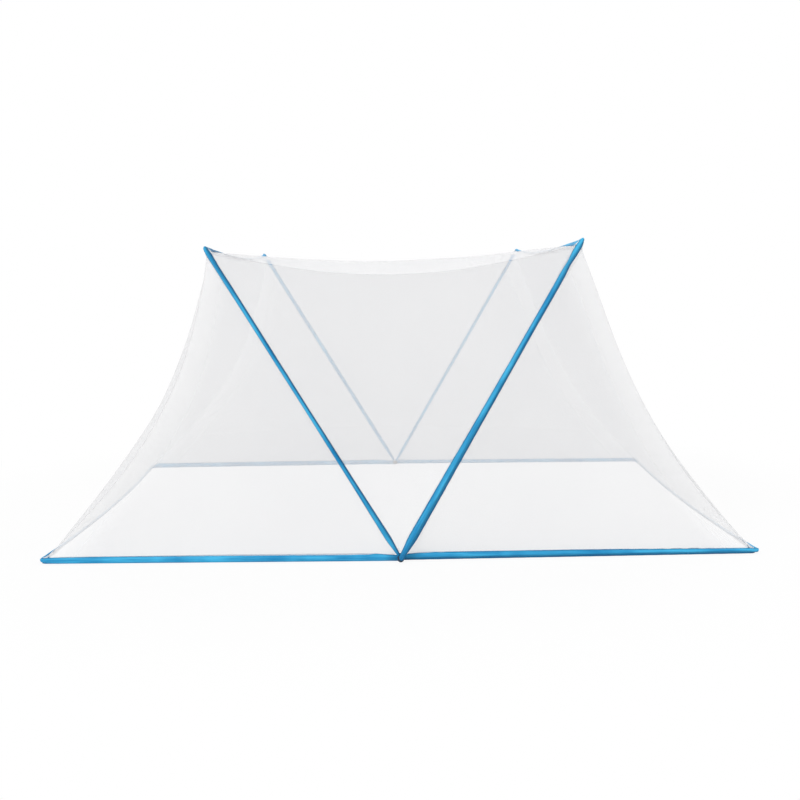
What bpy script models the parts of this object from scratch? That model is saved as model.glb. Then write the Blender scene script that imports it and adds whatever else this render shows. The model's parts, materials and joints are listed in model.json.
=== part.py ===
"""Free-standing mosquito net tent that folds like a fan.

Four equal U-shaped spring wire frames, two lying on the floor and two standing as arches, turn on
one hinge line that runs through a riveted hub at the front and another at the back. Each wire is
sheathed in tape, and a section of net is sewn between each frame and the next. There is no floor.

Metres, +Z up, +X along the tent, -Y towards the front. The origin is on the floor, under the middle
of the hinge line. A frame is drawn in its own plane: x runs outwards from the hinge line, y along
it, and z square to the frame.
"""

import math

import bmesh
import bpy
from mathutils import Matrix, Vector

# Whole tent
FRAME_REACH = 1.000  # hinge line to the corner of a frame, on the wire's centre line
FRAME_WIDTH = 1.500  # between the two legs of a frame, at their corners
LEG_FLARE = 0.020  # each leg leans this far outwards between its corner and its hub
CROSSBAR_BOW = 0.028  # the taut net draws the middle of each crossbar in by this much
RIGHT_ARCH_ANGLE = math.radians(60.1)  # from the floor frame on the right up to the arch beside it
LEFT_ARCH_ANGLE = math.radians(58.8)  # the same on the left
SEATING_GAP = 0.0003  # left between pieces that touch
FRAME_CLEARANCE = 0.0004  # left between the tapes of two frames that lie side by side

# Wires
WIRE_RADIUS = 0.0016
WIRE_SIDES = 8
BEND_SETBACK = 0.020  # from a corner to where its bend starts, along both bars
BEND_STEPS = 4
FADE_LENGTH = 0.050  # past a bend, where the sheath takes on its shape along the crossbar
FADE_STEPS = 4
CROSSBAR_STEPS = 6

# Tape sheaths
TAPE_HALF_WIDTH = 0.010  # on the legs and on the floor frames
ARCH_BAR_NARROWING = 0.002  # the net draws each edge of an arch's crossbar tape in by this much
HUB_NARROWING = 0.001  # each edge is gathered in by this much at the hub
LEG_TAPE_WALL = 0.0010  # over the arm of the knuckle
BAR_TAPE_WALL = 0.0016  # over the bare wire
TAPE_EDGE_HALF_THICKNESS = 0.0012
TAPE_FULLNESS_SHARES = ((-1.0, 0.0), (-0.60, 0.40), (-0.22, 1.0), (0.22, 1.0), (0.60, 0.40), (1.0, 0.0))
TAPE_SLOT_SHARE = 0.40  # depth of the pocket for the net's edge, of the half width
GATHER_LENGTH = 0.015  # past the socket's mouth, where the sheath reaches its full width
CORNER_SLEEVE = 0.024  # the sleeve round a corner covers this much of the leg
LIP_ROOT = 0.0025  # from the wire's centre to the line that an edge of the tape folds about
LIP_FOLD = math.radians(36)  # the net draws the edges of a crossbar's tape inwards by this

# Hubs
KNUCKLE_SETBACK = 0.001  # the knuckles' heads stay this far inside the edges of the tape
KNUCKLE_CHAMFER = 0.0008
KNUCKLE_SIDES = 20
SOCKET_WALL = 0.0011  # of the arm that holds a wire's end
SOCKET_SIDES = 12
SOCKET_END = 0.030  # hinge line to the mouth of the socket
SOCKET_FLOOR_WALL = 0.004  # from the rim of the knuckle's head to the bottom of the socket
RIVET_RADIUS = 0.0025
RIVET_HEAD_RADIUS = 0.0065
RIVET_HEAD_HEIGHT = 0.0024
RIVET_TAIL_RADIUS = 0.0042
RIVET_TAIL_HEIGHT = 0.0014
RIVET_SIDES = 16
RIVET_DOME_STEPS = 4
WASHER_RADIUS = 0.0070
WASHER_THICKNESS = 0.0010
WELD_DISTANCE = 0.00003  # points of a turned piece that lie closer than this become one
CUT_OVERRUN = 0.001  # every cut starts and ends this far outside the piece

# Hub flaps: the end of the outermost tape, carried on over the rivet's head
FLAP_THICKNESS = 0.0011
FLAP_SEAM = 0.010  # past the socket's mouth, where the flap leaves its tape
FLAP_COVER = 0.0005  # past the rivet's head, on the far side of the hinge line
FLAP_NARROWING = 0.003  # on each edge
FLAP_RISE_STEPS = 4
FLAP_END_STEPS = 3
FLAP_END_TURN = math.radians(75)  # of the round end, before it is cut off square

# Nets
NET_THICKNESS = 0.0004
NET_CLEARANCE = 0.001  # from where the sheath has its full width to a side panel's narrow end
SEAM_GAP = 0.0009  # from a side panel's edge to the panel across the tent
MOUTH_MARGIN = 0.0006  # the net leaves its pocket straight for this much before it bends
CORNER_REACH_SHARE = 0.22  # of the way between two frames, how far a rounded corner draws the seam
LEFT_SEAM_SAG = 0.088  # how far each section's seams curve in from a straight line
MIDDLE_SEAM_SAG = 0.082
RIGHT_SEAM_SAG = 0.072
PANEL_SAG_SHARE = 0.22  # the middle of the panel across curves in by this much of what its seams do
SECTION_STEPS = 10
SIDE_PANEL_STEPS = 5

# Each frame: how far it is turned up from the floor on the right, and its place in the stack of four
# at a hub, counted in pitches from the middle of the stack towards the back
FRAMES = {
    "right_base": (0.0, 1.5),
    "right_arch": (RIGHT_ARCH_ANGLE, -1.5),
    "left_arch": (math.pi - LEFT_ARCH_ANGLE, -0.5),
    "left_base": (math.pi, 0.5),
}
SECTIONS = {
    "right": ("right_base", "right_arch", RIGHT_SEAM_SAG),
    "middle": ("right_arch", "left_arch", MIDDLE_SEAM_SAG),
    "left": ("left_arch", "left_base", LEFT_SEAM_SAG),
}

# Worked out from the sizes above
HINGE_HEIGHT = TAPE_HALF_WIDTH
HUB_SIDE = FRAME_WIDTH / 2 + LEG_FLARE
LEG_LENGTH = math.hypot(FRAME_REACH, LEG_FLARE)
SOCKET_RADIUS = WIRE_RADIUS + SEATING_GAP + SOCKET_WALL
LEG_TAPE_HALF_THICKNESS = SOCKET_RADIUS + SEATING_GAP + LEG_TAPE_WALL
BAR_TAPE_HALF_THICKNESS = WIRE_RADIUS + SEATING_GAP + BAR_TAPE_WALL
ARCH_BAR_HALF_WIDTH = TAPE_HALF_WIDTH - ARCH_BAR_NARROWING
TAPE_END_HALF_WIDTH = TAPE_HALF_WIDTH - HUB_NARROWING
FRAME_PITCH = 2 * LEG_TAPE_HALF_THICKNESS + FRAME_CLEARANCE  # between frames on the hinge line
KNUCKLE_RADIUS = TAPE_HALF_WIDTH - KNUCKLE_SETBACK
KNUCKLE_THICKNESS = FRAME_PITCH - SEATING_GAP
SOCKET_FLOOR = KNUCKLE_RADIUS + SOCKET_FLOOR_WALL
SHEATH_START = KNUCKLE_RADIUS + SEATING_GAP
FULL_WIDTH_AT = SOCKET_END + GATHER_LENGTH
NET_START = FULL_WIDTH_AT + NET_CLEARANCE
STACK_FACE = (FRAME_PITCH * (len(FRAMES) - 1) + KNUCKLE_THICKNESS) / 2  # from the stack's middle
HEAD_SEAT = STACK_FACE + SEATING_GAP
WASHER_SEAT = STACK_FACE + SEATING_GAP
TAIL_SEAT = WASHER_SEAT + WASHER_THICKNESS + SEATING_GAP
FLAP_START = SOCKET_END + FLAP_SEAM
FLAP_OVERHANG = RIVET_HEAD_RADIUS + FLAP_COVER
FLAP_HALF_WIDTH = TAPE_HALF_WIDTH - FLAP_NARROWING


def material(name, colour, roughness, metallic=0.0, alpha=1.0):
    """A plain finish with a colour, a roughness and a metallic value."""
    finish = bpy.data.materials.new(name)
    finish.use_nodes = True
    shader = finish.node_tree.nodes["Principled BSDF"]
    shader.inputs["Base Color"].default_value = (*colour, 1.0)
    shader.inputs["Roughness"].default_value = roughness
    shader.inputs["Metallic"].default_value = metallic
    shader.inputs["Alpha"].default_value = alpha
    return finish


def add_object(name, mesh, finish, parent=None, smooth_angle=math.radians(40)):
    """Put a mesh in the scene under its own name, with its own finish."""
    mesh.materials.clear()
    mesh.materials.append(finish)
    mesh.shade_smooth()
    mesh.set_sharp_from_angle(angle=smooth_angle)
    piece = bpy.data.objects.new(name, mesh)
    bpy.context.scene.collection.objects.link(piece)
    piece.parent = parent
    return piece


def mesh_from(bm, name):
    """Turn a finished bmesh into a mesh."""
    mesh = bpy.data.meshes.new(name)
    bm.to_mesh(mesh)
    bm.free()
    return mesh


def smoothstep(share):
    """Ease from 0 to 1."""
    share = min(max(share, 0.0), 1.0)
    return share * share * (3.0 - 2.0 * share)


def circle(radius, sides):
    """The corners of a regular polygon."""
    turns = [math.tau * (k + 0.5) / sides for k in range(sides)]
    return [(radius * math.cos(turn), radius * math.sin(turn)) for turn in turns]


# The frame's centre line

def leg_point(distance):
    """The place on the front leg this far from the hinge line."""
    hub = Vector((0.0, -HUB_SIDE))
    corner = Vector((FRAME_REACH, -FRAME_WIDTH / 2))
    return hub.lerp(corner, distance / LEG_LENGTH)


def crossbar_point(y):
    """The place on the bowed crossbar at this distance from its middle."""
    return Vector((FRAME_REACH - CROSSBAR_BOW * (1.0 - (2.0 * y / FRAME_WIDTH) ** 2), y))


def bend_points():
    """The rounded front corner, from the leg into the crossbar."""
    start = leg_point(LEG_LENGTH - BEND_SETBACK)
    corner = Vector((FRAME_REACH, -FRAME_WIDTH / 2))
    end = crossbar_point(-FRAME_WIDTH / 2 + BEND_SETBACK)
    points = []
    for step in range(BEND_STEPS + 1):
        share = step / BEND_STEPS
        points.append(start.lerp(corner, share).lerp(corner.lerp(end, share), share))
    return points


def mirrored(points):
    """The same points on the other half of the frame, in the order that carries on the line."""
    return [Vector((point.x, -point.y)) for point in reversed(points)]


def line_around(leg_distance):
    """The centre line from the front leg, round both corners, to the same place on the rear leg."""
    bend_end = FRAME_WIDTH / 2 - BEND_SETBACK
    front = [leg_point(leg_distance)] + bend_points()
    for step in range(1, FADE_STEPS + 1):
        front.append(crossbar_point(FADE_LENGTH * step / FADE_STEPS - bend_end))
    middle = bend_end - FADE_LENGTH
    straight = [crossbar_point(middle * (2.0 * k / CROSSBAR_STEPS - 1.0)) for k in range(1, CROSSBAR_STEPS)]
    return front + straight + mirrored(front)


def mitred(points):
    """Each point of a centre line with its outward direction, lengthened at a bend to keep the width."""
    normals = []
    for before, after in zip(points, points[1:]):
        along = (after - before).normalized()
        normals.append(Vector((along.y, -along.x)))
    stations = [(points[0], normals[0])]
    for point, before, after in zip(points[1:], normals, normals[1:]):
        middle = (before + after).normalized()
        stations.append((point, middle / middle.dot(before)))
    stations.append((points[-1], normals[-1]))
    return stations


def placed(station, across, outward):
    """A point beside the centre line: across the frame's plane, and outwards within it."""
    point, direction = station
    return Vector((point.x + direction.x * outward, point.y + direction.y * outward, across))


def sweep(stations, loops_at, name):
    """A closed solid along a centre line. Each cross-section is an outline, then any bore in it."""
    bm = bmesh.new()
    rings = []
    for index, station in enumerate(stations):
        rings.append([[bm.verts.new(placed(station, *corner)) for corner in loop]
                      for loop in loops_at(index)])
    for before, after in zip(rings, rings[1:]):
        for loop, following in zip(before, after):
            for k in range(len(loop)):
                bm.faces.new((loop[k - 1], loop[k], following[k], following[k - 1]))
    for ring in (rings[0], rings[-1]):
        rim = [bm.edges.get((loop[k - 1], loop[k])) for loop in ring for k in range(len(loop))]
        bmesh.ops.triangle_fill(bm, edges=rim, use_beauty=True)
    bmesh.ops.recalc_face_normals(bm, faces=bm.faces)
    return mesh_from(bm, name)


# Spring wires

def wire_mesh():
    """One bent wire, with its ends in the sockets of the two hubs."""
    stations = mitred(line_around(SOCKET_FLOOR + SEATING_GAP))
    section = [circle(WIRE_RADIUS, WIRE_SIDES)]
    return sweep(stations, lambda index: section, "wire")


# Tape sheaths

def clear_of(radius, sides):
    """The radius of a round hole, as a polygon, that clears what it holds by the seating gap."""
    return (radius + SEATING_GAP) / math.cos(math.pi / sides)


def bore(radius):
    """A round way through a sheath."""
    return circle(clear_of(radius, WIRE_SIDES), WIRE_SIDES)


def slot_depth(half_width):
    """Depth of the pocket in the tape's edge that takes the edge of the net."""
    return half_width * TAPE_SLOT_SHARE


def folded(across, outward, fold):
    """Fold what lies beyond the lip's root inwards, about that root."""
    reach = abs(across) - LIP_ROOT
    if reach <= 0.0:
        return across, outward
    turned = LIP_ROOT + reach * math.cos(fold) + outward * math.sin(fold)
    return math.copysign(turned, across), outward * math.cos(fold) - reach * math.sin(fold)


def tape_section(half_width, half_thickness, folds, netted):
    """Outline of the tape sewn round its wire, with a pocket in each edge that holds a net."""
    spare = half_thickness - TAPE_EDGE_HALF_THICKNESS
    flank = [(half_width * place, TAPE_EDGE_HALF_THICKNESS + spare * fullness)
             for place, fullness in TAPE_FULLNESS_SHARES]
    pocket = NET_THICKNESS / 2 + SEATING_GAP
    inner = half_width - slot_depth(half_width)
    outline = list(flank)
    if netted[1]:
        outline += [(half_width, pocket), (inner, pocket), (inner, -pocket), (half_width, -pocket)]
    outline += [(across, -outward) for across, outward in reversed(flank)]
    if netted[0]:
        outline += [(-half_width, -pocket), (-inner, -pocket), (-inner, pocket), (-half_width, pocket)]
    return [folded(across, outward, folds[across > 0.0]) for across, outward in outline]


def leg_sheath_mesh(netted):
    """The tape on a front leg, gathered in at the hub where it covers the socket."""
    ends = (SHEATH_START, SOCKET_END + SEATING_GAP, FULL_WIDTH_AT,
            LEG_LENGTH - CORNER_SLEEVE - SEATING_GAP)
    stations = mitred([leg_point(distance) for distance in ends])
    # the bore steps down from the socket to the wire just past the socket's mouth
    widths = (TAPE_END_HALF_WIDTH, (TAPE_END_HALF_WIDTH + TAPE_HALF_WIDTH) / 2, TAPE_HALF_WIDTH,
              TAPE_HALF_WIDTH)
    bores = (SOCKET_RADIUS, SOCKET_RADIUS, WIRE_RADIUS, WIRE_RADIUS)

    def loops(index):
        section = tape_section(widths[index], LEG_TAPE_HALF_THICKNESS, (0.0, 0.0), netted)
        return [section, bore(bores[index])]

    return sweep(stations, loops, "leg sheath")


def bar_stations():
    """The stations of a crossbar's sheath, and how far each has changed from a leg's to a crossbar's."""
    points = line_around(LEG_LENGTH - CORNER_SLEEVE)
    run = [0.0]
    for before, after in zip(points, points[1:]):
        run.append(run[-1] + (after - before).length)
    full_at = run[1 + BEND_STEPS + FADE_STEPS]
    shares = [smoothstep(min(length, run[-1] - length) / full_at) for length in run]
    return mitred(points), shares


def bar_shape(share, on_floor):
    """Half width of a crossbar's tape on its two edges, and their folds, part way to the full fold.
    The lower edge of a floor frame stays upright, so that the frame stands on it."""
    narrow = TAPE_HALF_WIDTH if on_floor else ARCH_BAR_HALF_WIDTH
    half_width = TAPE_HALF_WIDTH + (narrow - TAPE_HALF_WIDTH) * share
    fold = LIP_FOLD * share
    thickness = LEG_TAPE_HALF_THICKNESS + (BAR_TAPE_HALF_THICKNESS - LEG_TAPE_HALF_THICKNESS) * share
    return half_width, thickness, fold


def bar_sheath_meshes(netted):
    """The sleeve round the front corner, the tape on the crossbar, and the rear corner's sleeve."""
    stations, shares = bar_stations()
    on_floor = not all(netted)
    # a sleeve ends one step past its bend, and the crossbar's tape starts a seating gap further on
    cut = 1 + BEND_STEPS + 1
    bar = stations[cut:len(stations) - cut]
    onward = (bar[1][0] - bar[0][0]).normalized() * SEATING_GAP
    bar[0] = (bar[0][0] + onward, bar[0][1])
    bar[-1] = (Vector((bar[0][0].x, -bar[0][0].y)), bar[-1][1])

    def length_of_tape(run, run_shares, name):
        def loops(index):
            half_width, thickness, fold = bar_shape(run_shares[index], on_floor)
            folds = (fold if netted[0] else 0.0, fold if netted[1] else 0.0)
            return [tape_section(half_width, thickness, folds, netted), bore(WIRE_RADIUS)]
        return sweep(run, loops, name)

    return (length_of_tape(stations[:cut + 1], shares[:cut + 1], "front corner sheath"),
            length_of_tape(bar, shares[cut:len(shares) - cut], "bar sheath"),
            length_of_tape(stations[-cut - 1:], shares[-cut - 1:], "rear corner sheath"))


# Hub knuckles, rivets, washers and flaps

def turned_mesh(profile, sides, name):
    """A piece turned about the y axis from a profile of (radius, y) points."""
    bm = bmesh.new()
    verts = [bm.verts.new((radius, y, 0.0)) for radius, y in profile]
    edges = [bm.edges.new(pair) for pair in zip(verts, verts[1:])]
    if profile[0][0] > 0.0:
        edges.append(bm.edges.new((verts[-1], verts[0])))
    bmesh.ops.spin(bm, geom=verts + edges, axis=(0.0, 1.0, 0.0), cent=(0.0, 0.0, 0.0),
                   angle=math.tau, steps=sides, use_merge=True)
    bmesh.ops.remove_doubles(bm, verts=bm.verts, dist=WELD_DISTANCE)
    bmesh.ops.recalc_face_normals(bm, faces=bm.faces)
    return mesh_from(bm, name)


def cylinder_mesh(radius, sides, start, end, name):
    """A closed cylinder between two points."""
    bm = bmesh.new()
    run = end - start
    place = Matrix.Translation((start + end) / 2) @ run.to_track_quat("Z", "Y").to_matrix().to_4x4()
    bmesh.ops.create_cone(bm, cap_ends=True, segments=sides, radius1=radius, radius2=radius,
                          depth=run.length, matrix=place)
    return mesh_from(bm, name)


def cut_or_joined(mesh, steps):
    """Join other meshes to this one, or cut them from it, one after another."""
    body = bpy.data.objects.new("work_piece", mesh)
    bpy.context.scene.collection.objects.link(body)
    tools = []
    for number, (operation, other) in enumerate(steps):
        tool = bpy.data.objects.new(f"work_tool_{number}", other)
        bpy.context.scene.collection.objects.link(tool)
        modifier = body.modifiers.new(tool.name, "BOOLEAN")
        modifier.operation = operation
        modifier.object = tool
        tools.append(tool)
    bpy.context.view_layer.update()
    result = bpy.data.meshes.new_from_object(body.evaluated_get(bpy.context.evaluated_depsgraph_get()))
    for helper in [body] + tools:
        bpy.data.objects.remove(helper)
    return result


def knuckle_mesh():
    """A moulded knuckle: a round head on the rivet, and a hollow arm for the wire's end."""
    half = KNUCKLE_THICKNESS / 2
    head = turned_mesh([(0.0, -half), (KNUCKLE_RADIUS - KNUCKLE_CHAMFER, -half),
                        (KNUCKLE_RADIUS, -half + KNUCKLE_CHAMFER), (KNUCKLE_RADIUS, half - KNUCKLE_CHAMFER),
                        (KNUCKLE_RADIUS - KNUCKLE_CHAMFER, half), (0.0, half)], KNUCKLE_SIDES, "knuckle")
    lean = (leg_point(LEG_LENGTH) - leg_point(0.0)).normalized()
    along = Vector((lean.x, lean.y, 0.0))
    arm_start = (RIVET_RADIUS + KNUCKLE_RADIUS) / 2
    arm = cylinder_mesh(SOCKET_RADIUS, SOCKET_SIDES, along * arm_start, along * SOCKET_END, "arm")
    through = Vector((0.0, half + CUT_OVERRUN, 0.0))
    hole = cylinder_mesh(clear_of(RIVET_RADIUS, RIVET_SIDES), RIVET_SIDES, -through, through, "rivet hole")
    socket = cylinder_mesh(clear_of(WIRE_RADIUS, SOCKET_SIDES), SOCKET_SIDES, along * SOCKET_FLOOR,
                           along * (SOCKET_END + CUT_OVERRUN), "socket")
    return cut_or_joined(head, [("UNION", arm), ("DIFFERENCE", hole), ("DIFFERENCE", socket)])


def rivet_mesh():
    """A rivet with a domed head outside and a set tail inside, along y from the outside in."""
    profile = []
    for step in range(RIVET_DOME_STEPS + 1):
        turn = math.pi / 2 * step / RIVET_DOME_STEPS
        profile.append((RIVET_HEAD_RADIUS * math.sin(turn), -HEAD_SEAT - RIVET_HEAD_HEIGHT * math.cos(turn)))
    profile += [(RIVET_RADIUS, -HEAD_SEAT), (RIVET_RADIUS, TAIL_SEAT), (RIVET_TAIL_RADIUS, TAIL_SEAT),
                (RIVET_TAIL_RADIUS, TAIL_SEAT + RIVET_TAIL_HEIGHT / 2),
                (RIVET_RADIUS, TAIL_SEAT + RIVET_TAIL_HEIGHT), (0.0, TAIL_SEAT + RIVET_TAIL_HEIGHT)]
    return turned_mesh(profile, RIVET_SIDES, "rivet")


def washer_mesh():
    """The washer under the rivet's tail."""
    hole = clear_of(RIVET_RADIUS, RIVET_SIDES)
    far_face = WASHER_SEAT + WASHER_THICKNESS
    return turned_mesh([(hole, WASHER_SEAT), (WASHER_RADIUS, WASHER_SEAT), (WASHER_RADIUS, far_face),
                        (hole, far_face)], RIVET_SIDES, "washer")


def flap_mesh():
    """The end of the outermost tape, carried on over the rivet's head, on the side away from the tent.
    Its stations give the distance from the hinge line, the height over the leg's wire and the width."""
    over_tape = LEG_TAPE_HALF_THICKNESS + SEATING_GAP
    over_head = KNUCKLE_THICKNESS / 2 + SEATING_GAP + RIVET_HEAD_HEIGHT + SEATING_GAP
    stations = []
    for step in range(FLAP_RISE_STEPS + 1):
        share = step / FLAP_RISE_STEPS
        distance = FLAP_START + (RIVET_HEAD_RADIUS - FLAP_START) * share
        height = over_tape + (over_head - over_tape) * smoothstep(share)
        stations.append((distance, height, FLAP_HALF_WIDTH))
    for step in range(FLAP_END_STEPS + 1):
        turn = FLAP_END_TURN * step / FLAP_END_STEPS
        stations.append((-FLAP_OVERHANG * math.sin(turn), over_head, FLAP_HALF_WIDTH * math.cos(turn)))
    bm = bmesh.new()
    slope = LEG_FLARE / FRAME_REACH
    rings = []
    for distance, height, half_width in stations:
        side = distance * slope - height
        rings.append([bm.verts.new((distance, side - depth, across))
                      for depth, across in ((0.0, -half_width), (0.0, half_width),
                                            (FLAP_THICKNESS, half_width), (FLAP_THICKNESS, -half_width))])
    for before, after in zip(rings, rings[1:]):
        for k in range(len(before)):
            bm.faces.new((before[k - 1], before[k], after[k], after[k - 1]))
    bm.faces.new(rings[0])
    bm.faces.new(rings[-1])
    bmesh.ops.recalc_face_normals(bm, faces=bm.faces)
    return mesh_from(bm, "flap")


# Nets

def frame_matrix(frame):
    """Where a frame's plane lies: raised and turned about the hinge line, and shifted in the stack."""
    turn, place = FRAMES[frame]
    return (Matrix.Translation((0.0, place * FRAME_PITCH, HINGE_HEIGHT))
            @ Matrix.Rotation(-turn, 4, "Y"))


def edge_points(frame, side, station, half_width, fold):
    """Where the net lies in its pocket, and where it leaves it, beside one station of a frame."""
    reach = half_width - LIP_ROOT
    seated = reach - slot_depth(half_width) + SEATING_GAP
    points = []
    for distance in (seated, reach + MOUTH_MARGIN):
        across = LIP_ROOT + distance * math.cos(fold)
        local = placed(station, side * across, -distance * math.sin(fold))
        points.append(frame_matrix(frame) @ local)
    return points


def corner_pull(share):
    """How much of a rounded corner's shape the net still follows, part way to the next frame."""
    left = max(0.0, 1.0 - share / CORNER_REACH_SHARE)
    return left * left


def across_panel_points(section):
    """The panel from one crossbar to the next. It curves in most along its two seams."""
    lower, upper, sag = SECTIONS[section]
    stations, shares = bar_stations()
    last = len(stations) - 1
    edges = []
    for frame, side in ((lower, 1), (upper, -1)):
        on_floor = frame.endswith("base")
        row = []
        for station, share in zip(stations, shares):
            half_width, _, fold = bar_shape(share, on_floor)
            row.append(edge_points(frame, side, station, half_width, fold))
        edges.append(row)
    # the same bars with square corners, which the middle of the panel follows
    plain = []
    for frame, side in ((lower, 1), (upper, -1)):
        row = []
        for point, _ in stations:
            square = crossbar_point(min(max(point.y, -FRAME_WIDTH / 2), FRAME_WIDTH / 2))
            row.append(frame_matrix(frame) @ Vector((square.x, square.y, 0.0)))
        plain.append(row)
    corners = [[row[0], row[last]] for row in plain]
    hinge = Vector((0.0, 0.0, HINGE_HEIGHT))
    inward = hinge - (corners[0][0] + corners[1][0]) / 2
    inward.y = 0.0
    inward.normalize()
    rows = []
    for index in range(len(stations)):
        to_seam = min(abs(stations[index][0].y) / (FRAME_WIDTH / 2), 1.0)
        row_sag = sag * (PANEL_SAG_SHARE + (1.0 - PANEL_SAG_SHARE) * to_seam * to_seam)
        row = [edges[0][index][0], edges[0][index][1]]
        for step in range(1, SECTION_STEPS):
            share = step / SECTION_STEPS
            curve = inward * (row_sag * 4.0 * share * (1.0 - share))
            point = plain[0][index].lerp(plain[1][index], share) + curve
            point += (edges[0][index][1] - plain[0][index]) * corner_pull(share)
            point += (edges[1][index][1] - plain[1][index]) * corner_pull(1.0 - share)
            row.append(point)
        row += [edges[1][index][1], edges[1][index][0]]
        rows.append(row)
    return rows


def leg_edges(lower, upper, mirror, distance):
    """Where the net lies against two neighbouring legs, this far along both."""
    point = leg_point(distance)
    station = (Vector((point.x, point.y * mirror)), Vector((0.0, 1.0)))
    return (edge_points(lower, 1, station, TAPE_HALF_WIDTH, 0.0),
            edge_points(upper, -1, station, TAPE_HALF_WIDTH, 0.0))


def side_panel_points(section, front):
    """The panel between two legs, from near the hub out to the seam of the panel across."""
    lower, upper, _ = SECTIONS[section]
    mirror = 1.0 if front else -1.0
    seam = across_panel_points(section)[0 if front else -1]
    hinge = Vector((0.0, 0.0, HINGE_HEIGHT))
    outer_end = LEG_LENGTH - CORNER_SLEEVE - SEAM_GAP
    start = leg_edges(lower, upper, mirror, NET_START)
    rows = []
    for step in range(SIDE_PANEL_STEPS + 1):
        share = step / SIDE_PANEL_STEPS
        distance = NET_START + (outer_end - NET_START) * share
        lower_edge, upper_edge = leg_edges(lower, upper, mirror, distance)
        row = [lower_edge[0], lower_edge[1]]
        for number in range(1, SECTION_STEPS):
            between = number / SECTION_STEPS
            rim = seam[number + 1]
            outward = Vector((rim.x, 0.0, rim.z - hinge.z)).normalized()
            narrow_end = start[0][1].lerp(start[1][1], between)
            row.append(narrow_end.lerp(rim - outward * SEAM_GAP, share))
        row += [upper_edge[1], upper_edge[0]]
        rows.append(row)
    return rows


def net_mesh(rows, name):
    """A sheet through rows of points, drawn about the hinge line."""
    bm = bmesh.new()
    hinge = Vector((0.0, 0.0, HINGE_HEIGHT))
    grid = [[bm.verts.new(point - hinge) for point in row] for row in rows]
    for row, following in zip(grid, grid[1:]):
        for k in range(1, len(row)):
            bm.faces.new((row[k - 1], row[k], following[k], following[k - 1]))
    bmesh.ops.recalc_face_normals(bm, faces=bm.faces)
    return mesh_from(bm, name)


def add_net(name, rows, finish):
    """A net panel of its real thickness, with its origin on the hinge line."""
    net = add_object(name, net_mesh(rows, name), finish, smooth_angle=math.radians(60))
    net.location = (0.0, 0.0, HINGE_HEIGHT)
    solid = net.modifiers.new("thickness", "SOLIDIFY")
    solid.thickness = NET_THICKNESS
    solid.offset = 0.0
    solid.use_even_offset = True
    return net


# Building the tent

def half_turn(mesh):
    """A copy of a front piece turned half a turn about the frame's middle line, for the rear."""
    copy = mesh.copy()
    copy.transform(Matrix.Rotation(math.pi, 4, "X"))
    return copy


def build_frame(frame, wire, knuckle):
    """One U-shaped frame: its wire, five lengths of sheath and two knuckles."""
    turn, place = FRAMES[frame]
    axis = bpy.data.objects.new(f"{frame}_axis", None)
    bpy.context.scene.collection.objects.link(axis)
    axis.location = (0.0, place * FRAME_PITCH, HINGE_HEIGHT)
    axis.rotation_euler = (0.0, -turn, 0.0)
    # a net leaves each edge of the tape, but a floor frame has none underneath
    netted = (frame != "right_base", frame != "left_base")
    tape = material(f"{frame}_tape", (0.032, 0.300, 0.540), 0.55)
    plastic = material(f"{frame}_plastic", (0.010, 0.018, 0.035), 0.45)
    steel = material(f"{frame}_steel", (0.45, 0.46, 0.48), 0.35, metallic=1.0)
    add_object(f"{frame}_wire", wire.copy(), steel, axis)
    add_object(f"{frame}_front_sheath", leg_sheath_mesh(netted), tape, axis)
    for place, mesh in zip(("front_corner", "bar", "rear_corner"), bar_sheath_meshes(netted)):
        add_object(f"{frame}_{place}_sheath", mesh, tape, axis)
    add_object(f"{frame}_rear_sheath", half_turn(leg_sheath_mesh(netted[::-1])), tape, axis)
    for end, turned, side in (("front", knuckle.copy(), -HUB_SIDE), ("rear", half_turn(knuckle), HUB_SIDE)):
        head = add_object(f"{frame}_{end}_knuckle", turned, plastic, axis)
        head.location = (0.0, side, 0.0)


def build_hub(end, side):
    """The rivet through four knuckles, its washer, and the tape flap that hides its head."""
    steel = material(f"{end}_rivet_steel", (0.40, 0.41, 0.43), 0.35, metallic=1.0)
    for name, mesh in (("rivet", rivet_mesh()), ("washer", washer_mesh())):
        piece = add_object(f"{end}_{name}", mesh, steel)
        piece.location = (0.0, side * HUB_SIDE, HINGE_HEIGHT)
        piece.rotation_euler = (0.0, 0.0, 0.0 if side < 0.0 else math.pi)
    outermost = "right_arch" if side < 0.0 else "right_base"
    tape = material(f"{end}_flap_tape", (0.032, 0.300, 0.540), 0.55)
    mesh = flap_mesh() if side < 0.0 else half_turn(flap_mesh())
    flap = add_object(f"{end}_hub_flap", mesh, tape, bpy.data.objects[f"{outermost}_axis"])
    flap.location = (0.0, side * HUB_SIDE, 0.0)


def build():
    """The whole tent, standing open."""
    for old in list(bpy.data.objects):
        bpy.data.objects.remove(old)
    wire = wire_mesh()
    knuckle = knuckle_mesh()
    for frame in FRAMES:
        build_frame(frame, wire, knuckle)
    build_hub("front", -1.0)
    build_hub("rear", 1.0)
    for section in SECTIONS:
        net = material(f"{section}_net", (0.80, 0.80, 0.82), 0.9, alpha=0.6)
        across = "top" if section == "middle" else "end"
        add_net(f"{section}_{across}_net", across_panel_points(section), net)
        add_net(f"{section}_front_net", side_panel_points(section, True), net)
        add_net(f"{section}_rear_net", side_panel_points(section, False), net)


build()
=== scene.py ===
"""Free-standing mosquito net tent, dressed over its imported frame.

Metres, +Z up, +X along the tent, -Y towards the front. A frame of the tent is drawn in its own
plane: x runs outwards from the hinge line, y along it, and z square to the frame.
"""
import json
import math

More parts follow.
